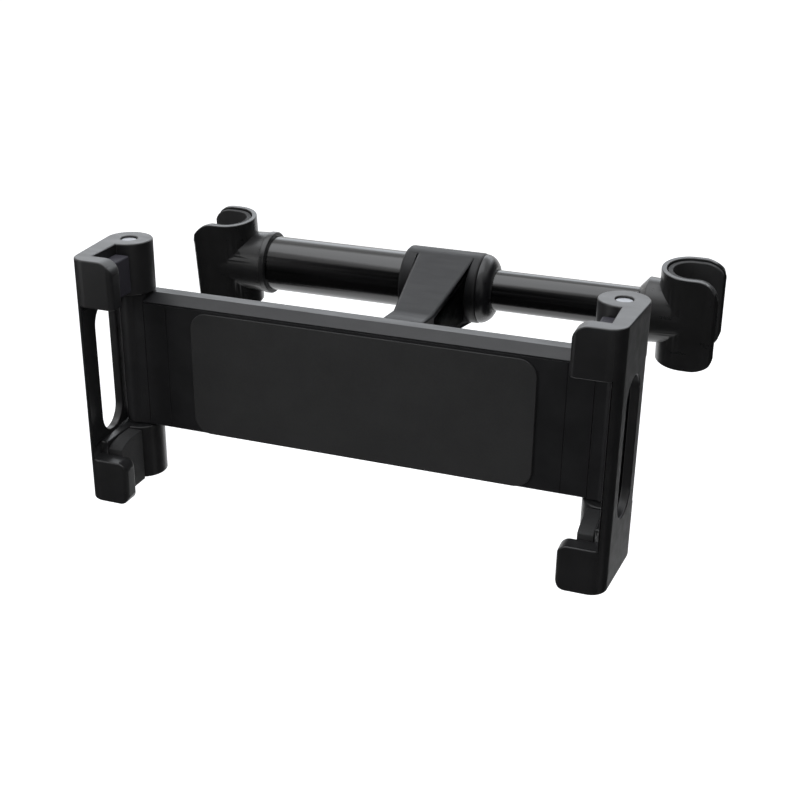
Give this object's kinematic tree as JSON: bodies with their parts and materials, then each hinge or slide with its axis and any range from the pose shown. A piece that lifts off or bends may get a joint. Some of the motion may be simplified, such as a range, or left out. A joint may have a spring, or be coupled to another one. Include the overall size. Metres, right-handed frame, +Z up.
{
  "type": "headrest tablet mount",
  "caption": "Sprung telescopic bar that clips between headrest posts, with an arm, a ball joint and a clamp whose folding jaws open together on a rack and pinion.",
  "frame": {"origin": "middle of the left clip's bore, on the left headrest post's axis", "axes": "+X along the bar towards the right post, +Z up along the posts, -Y towards the person looking at the screen"},
  "size_m": [0.1884, 0.1271, 0.0816],
  "materials": {
    "gloss_black_tube": "gloss black enamel",
    "matte_black_plastic": "fine satin moulding texture",
    "clip_black_plastic": "matte moulded nylon",
    "bevel_black_plastic": "satin",
    "grey_black_rubber": "matte",
    "block_rubber": "soft matte",
    "bare_steel": "zinc plated",
    "dark_pin_steel": "blackened, brushed end",
    "spring_steel": "bright drawn wire",
    "white_acetal": "moulded acetal"
  },
  "bodies": {
    "bar": {"outer_tube": "gloss_black_tube", "left_clip": "clip_black_plastic", "left_clip_liner": "grey_black_rubber", "arm": "matte_black_plastic", "guide_bush": "matte_black_plastic", "saddle_screw": "bare_steel", "bar_spring": "spring_steel"},
    "sliding_bar": {"inner_tube": "gloss_black_tube", "slide_collar": "white_acetal", "right_clip": "clip_black_plastic", "right_clip_liner": "grey_black_rubber"},
    "lock_nut": {"lock_nut": "matte_black_plastic"},
    "pressure_cup": {"pressure_cup": "white_acetal"},
    "friction_liner": {"friction_liner": "grey_black_rubber"},
    "holder": {"ball_stud": "matte_black_plastic", "stud_screws": "bare_steel", "front_cover": "bevel_black_plastic", "front_pad": "grey_black_rubber", "back_cover": "matte_black_plastic", "housing_screws": "bare_steel", "pinion_axle": "bare_steel", "left_spring": "spring_steel", "right_spring": "spring_steel"},
    "pinion": {"pinion": "white_acetal"},
    "left_slider": {"left_slider": "bevel_black_plastic", "left_jaw_pin": "dark_pin_steel"},
    "right_slider": {"right_slider": "bevel_black_plastic", "right_jaw_pin": "dark_pin_steel"},
    "left_jaw": {"left_jaw": "matte_black_plastic", "left_upper_block": "block_rubber", "left_lower_block": "grey_black_rubber"},
    "right_jaw": {"right_jaw": "matte_black_plastic", "right_upper_block": "block_rubber", "right_lower_block": "grey_black_rubber"}
  },
  "joints": [
    {"name": "bar_extend", "type": "slide", "parent": "bar", "child": "sliding_bar", "axis": [1, 0, 0], "range_m": [-0.046, 0], "stiffness_N_per_m": 120, "springref_m": 0.06, "deforming": ["bar_spring"]},
    {"name": "lock_nut_turn", "type": "hinge", "parent": "bar", "child": "lock_nut", "pos_m": [0.084, -0.064, -0.002], "axis": [0, 1, 0], "range_deg": [0, 360]},
    {"name": "ball_tilt", "type": "hinge", "parent": "bar", "child": "pressure_cup", "pos_m": [0.084, -0.064, -0.002], "axis": [1, 0, 0], "range_deg": [-7.5, 22.5]},
    {"name": "ball_swivel", "type": "hinge", "parent": "pressure_cup", "child": "friction_liner", "pos_m": [0.084, -0.064, -0.002], "axis": [0, 0.1305, 0.9914], "range_deg": [-15, 15]},
    {"name": "screen_spin", "type": "hinge", "parent": "friction_liner", "child": "holder", "pos_m": [0.084, -0.064, -0.002], "axis": [0, 0.9914, -0.1305], "continuous": true},
    {"name": "left_jaw_slide", "type": "slide", "parent": "holder", "child": "left_slider", "axis": [-1, 0, 0], "range_m": [0, 0.037], "stiffness_N_per_m": 60, "springref_m": -0.05, "deforming": ["left_spring"]},
    {"name": "right_jaw_slide", "type": "slide", "parent": "holder", "child": "right_slider", "axis": [1, 0, 0], "range_m": [0, 0.037], "stiffness_N_per_m": 60, "springref_m": -0.05, "deforming": ["right_spring"]},
    {"name": "pinion_spin", "type": "hinge", "parent": "holder", "child": "pinion", "pos_m": [0.084, -0.0839, 0.0039], "axis": [0, -0.9914, 0.1305], "range_deg": [0, 305]},
    {"name": "left_jaw_fold", "type": "hinge", "parent": "left_slider", "child": "left_jaw", "pos_m": [0.008, -0.08449, 0.00322], "axis": [0, 0.1305, 0.9914], "range_deg": [0, 85]},
    {"name": "right_jaw_fold", "type": "hinge", "parent": "right_slider", "child": "right_jaw", "pos_m": [0.16, -0.08449, 0.00322], "axis": [0, -0.1305, -0.9914], "range_deg": [0, 85]}
  ],
  "couplings": [
    {"joint": "right_jaw_slide", "follows": "left_jaw_slide", "ratio": 1},
    {"joint": "pinion_spin", "follows": "left_jaw_slide", "rad_per_m": 142.86}
  ]
}
